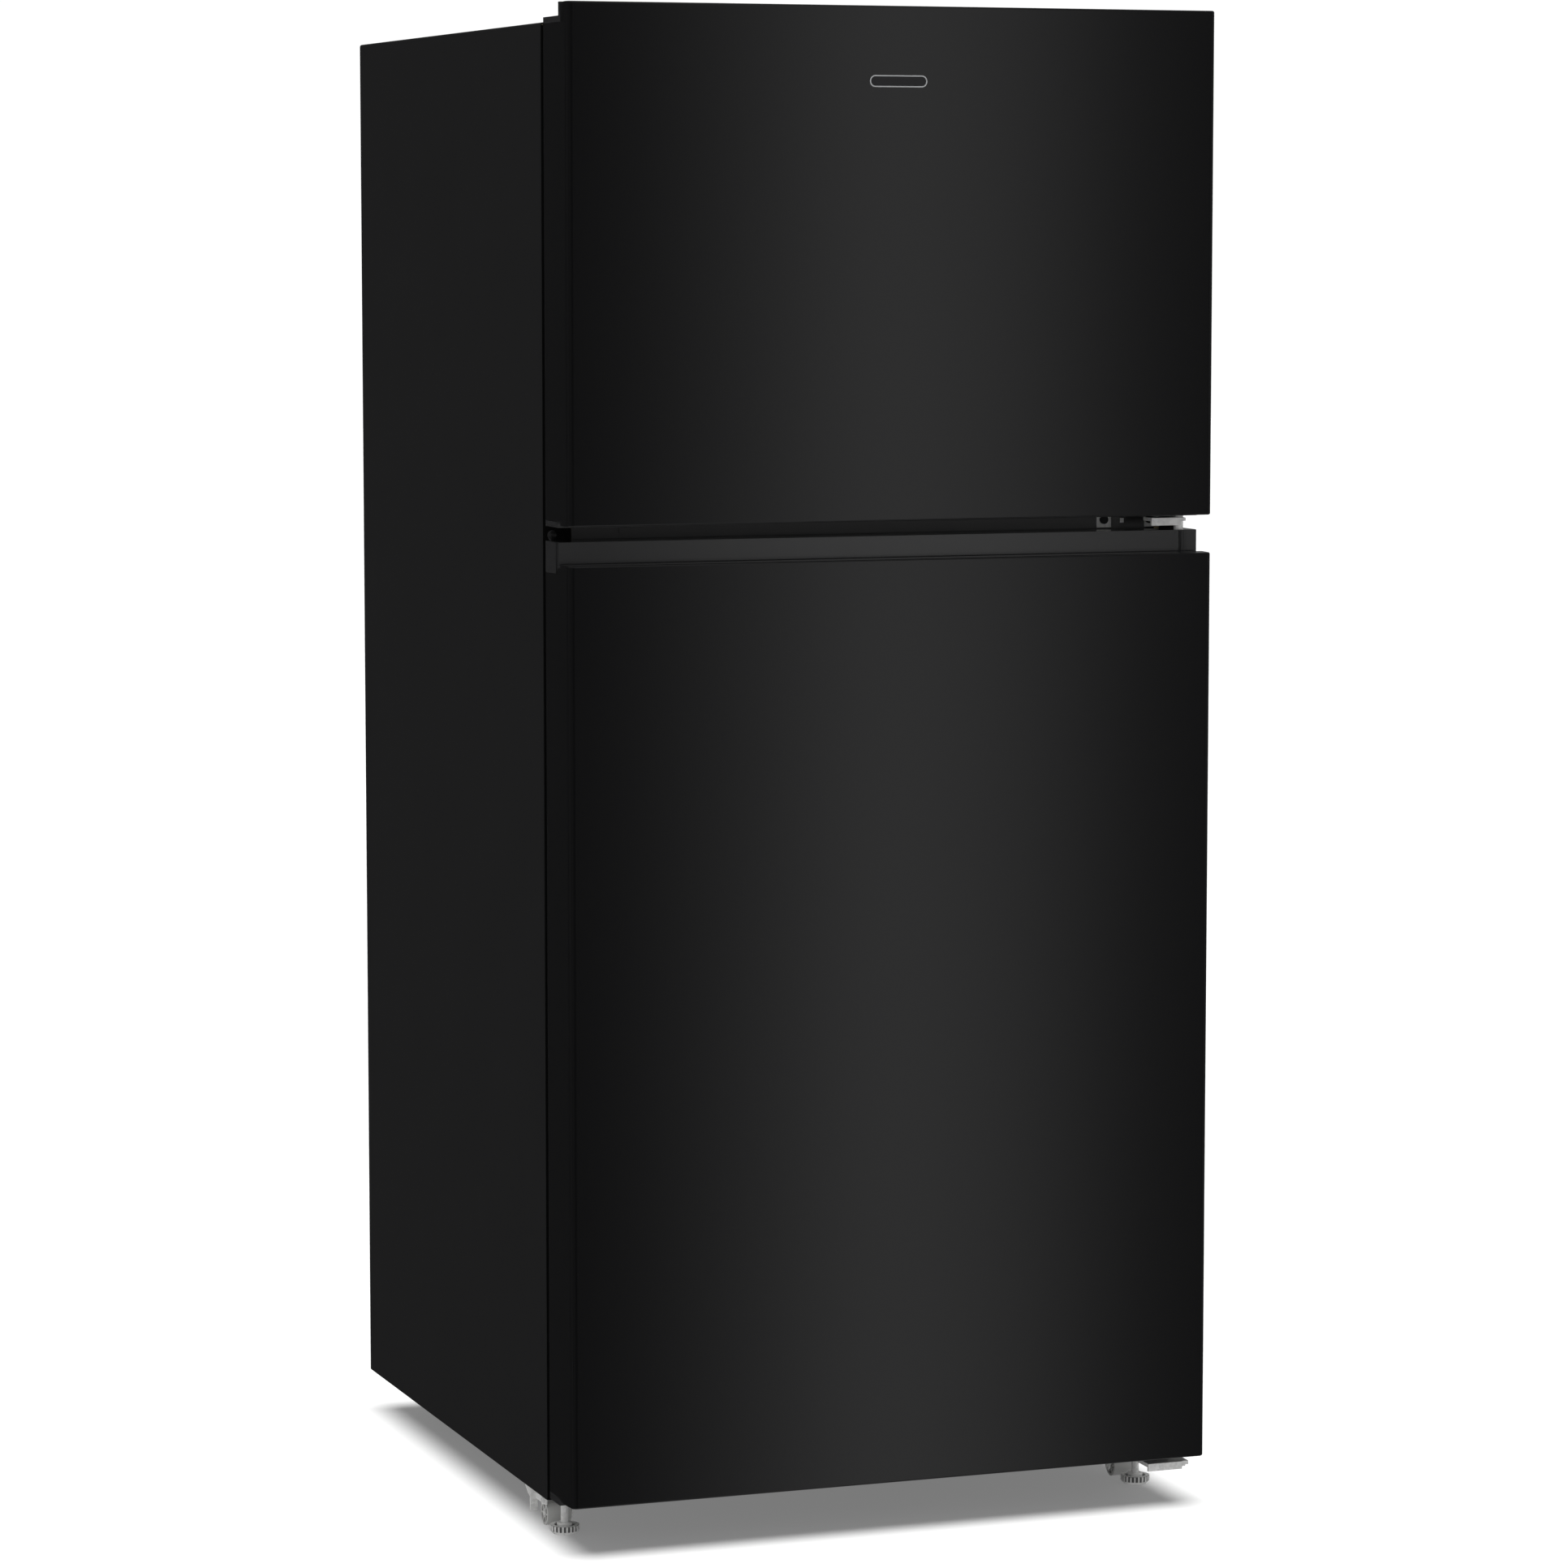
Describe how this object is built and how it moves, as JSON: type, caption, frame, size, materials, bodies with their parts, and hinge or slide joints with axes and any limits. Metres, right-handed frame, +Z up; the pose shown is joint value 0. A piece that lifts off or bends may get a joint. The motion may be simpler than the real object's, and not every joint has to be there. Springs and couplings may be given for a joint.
{
  "type": "top freezer refrigerator",
  "caption": "Free-standing top freezer refrigerator with two hinged black doors, pocket grips between them, drawers, shelves, feet and rollers.",
  "frame": {"origin": "on the floor, under the middle of the closed refrigerator's bounding box", "axes": "+X to the right seen from the front, where both doors have their hinges; +Y to the back, so the door faces look along -Y; +Z up"},
  "size_m": [0.702, 0.7612, 1.568],
  "materials": {
    "black_steel": "satin",
    "grey_steel": "matt",
    "gloss_black_steel": "gloss",
    "black_plastic": "satin",
    "insulation": "matt foam",
    "white_plastic": "satin",
    "zinc_steel": "galvanised",
    "dark_steel": "black oxide",
    "compressor_black": "semi-gloss",
    "motor_grey": "matt",
    "black_rubber": "matt",
    "seal": "matt",
    "clear_bin_plastic": "clear",
    "shelf_glass": "clear",
    "white_wire": "vinyl coated",
    "roller_nylon": "satin",
    "aluminium": "mill",
    "badge": "satin chrome"
  },
  "bodies": {
    "cabinet": {"cabinet_shell": "black_steel", "back_panel": "grey_steel", "base_pan": "black_steel", "cabinet_insulation": "insulation", "fridge_liner": "white_plastic", "freezer_liner": "white_plastic", "mullion_rail": "black_steel", "mullion_cover": "black_plastic", "hinge_hole_plugs": "black_plastic", "top_hinge": "zinc_steel", "top_hinge_cover": "black_plastic", "center_hinge": "zinc_steel", "bottom_hinge": "zinc_steel", "hinge_screws": "dark_steel", "front_roller_brackets": "zinc_steel", "rear_roller_brackets": "zinc_steel", "compressor": "compressor_black", "compressor_mounts": "black_rubber", "start_relay": "black_plastic", "condenser": "compressor_black", "condenser_fan_motor": "motor_grey", "drain_pan": "black_plastic", "rear_access_cover": "black_steel", "cord_gland": "black_rubber", "evaporator": "aluminium", "evaporator_cover": "white_plastic", "evaporator_fan_motor": "white_plastic", "freezer_shelf": "white_wire", "glass_shelves": "shelf_glass", "shelf_frames": "white_plastic", "control_housing": "white_plastic", "lamp_lens": "white_plastic"},
    "freezer_door": {"freezer_door_skin": "gloss_black_steel", "freezer_door_top_cap": "black_plastic", "freezer_door_bottom_cap": "black_plastic", "freezer_door_insulation": "insulation", "freezer_door_liner": "white_plastic", "freezer_door_gasket": "seal", "freezer_door_bins": "clear_bin_plastic", "nameplate": "badge"},
    "fridge_door": {"fridge_door_skin": "gloss_black_steel", "fridge_door_top_cap": "black_plastic", "fridge_door_bottom_cap": "black_plastic", "fridge_door_insulation": "insulation", "fridge_door_liner": "white_plastic", "fridge_door_gasket": "seal", "fridge_door_bins": "clear_bin_plastic"},
    "dairy_cover": {"dairy_cover": "clear_bin_plastic"},
    "left_crisper_drawer": {"left_crisper_drawer": "clear_bin_plastic"},
    "right_crisper_drawer": {"right_crisper_drawer": "clear_bin_plastic"},
    "temperature_knob": {"temperature_knob": "white_plastic"},
    "light_switch_plunger": {"light_switch_plunger": "white_plastic"},
    "evaporator_fan": {"evaporator_fan": "black_plastic"},
    "condenser_fan": {"condenser_fan": "black_plastic"},
    "left_front_roller": {"left_front_roller": "roller_nylon"},
    "right_front_roller": {"right_front_roller": "roller_nylon"},
    "left_rear_roller": {"left_rear_roller": "roller_nylon"},
    "right_rear_roller": {"right_rear_roller": "roller_nylon"},
    "left_leveling_foot": {"left_leveling_foot": "zinc_steel"},
    "right_leveling_foot": {"right_leveling_foot": "zinc_steel"}
  },
  "joints": [
    {"name": "freezer_door_hinge", "type": "hinge", "parent": "cabinet", "child": "freezer_door", "pos_m": [0.333, -0.335, 1.046], "axis": [0, 0, 1], "range_deg": [0, 130]},
    {"name": "fridge_door_hinge", "type": "hinge", "parent": "cabinet", "child": "fridge_door", "pos_m": [0.333, -0.335, 0.046], "axis": [0, 0, 1], "range_deg": [0, 130]},
    {"name": "dairy_cover_hinge", "type": "hinge", "parent": "fridge_door", "child": "dairy_cover", "pos_m": [-0.14, -0.21, 0.921], "axis": [1, 0, 0], "range_deg": [0, 70]},
    {"name": "left_crisper_slide", "type": "slide", "parent": "cabinet", "child": "left_crisper_drawer", "axis": [0, -1, 0], "range_m": [0, 0.24]},
    {"name": "right_crisper_slide", "type": "slide", "parent": "cabinet", "child": "right_crisper_drawer", "axis": [0, -1, 0], "range_m": [0, 0.24]},
    {"name": "temperature_knob_turn", "type": "hinge", "parent": "cabinet", "child": "temperature_knob", "pos_m": [0.06, -0.095, 0.966], "axis": [0, -1, 0], "range_deg": [0, 270]},
    {"name": "light_switch_travel", "type": "slide", "parent": "cabinet", "child": "light_switch_plunger", "axis": [0, -1, 0], "range_m": [0, 0.006]},
    {"name": "evaporator_fan_spin", "type": "hinge", "parent": "cabinet", "child": "evaporator_fan", "pos_m": [0, 0.284, 1.4], "axis": [0, 1, 0], "continuous": true},
    {"name": "condenser_fan_spin", "type": "hinge", "parent": "cabinet", "child": "condenser_fan", "pos_m": [-0.028, 0.262, 0.14], "axis": [1, 0, 0], "continuous": true},
    {"name": "left_front_roller_spin", "type": "hinge", "parent": "cabinet", "child": "left_front_roller", "pos_m": [-0.321, -0.23, 0.0135], "axis": [1, 0, 0], "continuous": true},
    {"name": "left_rear_roller_spin", "type": "hinge", "parent": "cabinet", "child": "left_rear_roller", "pos_m": [-0.266, 0.33, 0.0125], "axis": [1, 0, 0], "continuous": true},
    {"name": "left_leveling_foot_screw", "type": "hinge", "parent": "cabinet", "child": "left_leveling_foot", "pos_m": [-0.3226, -0.264, 0.02], "axis": [0, 0, 1], "continuous": true},
    {"name": "right_front_roller_spin", "type": "hinge", "parent": "cabinet", "child": "right_front_roller", "pos_m": [0.321, -0.23, 0.0135], "axis": [1, 0, 0], "continuous": true},
    {"name": "right_rear_roller_spin", "type": "hinge", "parent": "cabinet", "child": "right_rear_roller", "pos_m": [0.266, 0.33, 0.0125], "axis": [1, 0, 0], "continuous": true},
    {"name": "right_leveling_foot_screw", "type": "hinge", "parent": "cabinet", "child": "right_leveling_foot", "pos_m": [0.3226, -0.264, 0.02], "axis": [0, 0, 1], "continuous": true}
  ],
  "couplings": [
    {"joint": "left_crisper_slide", "follows": "fridge_door_hinge", "m_per_rad": 0.105},
    {"joint": "right_crisper_slide", "follows": "fridge_door_hinge", "m_per_rad": 0.105},
    {"joint": "light_switch_travel", "follows": "fridge_door_hinge", "m_per_rad": 0.0026}
  ]
}
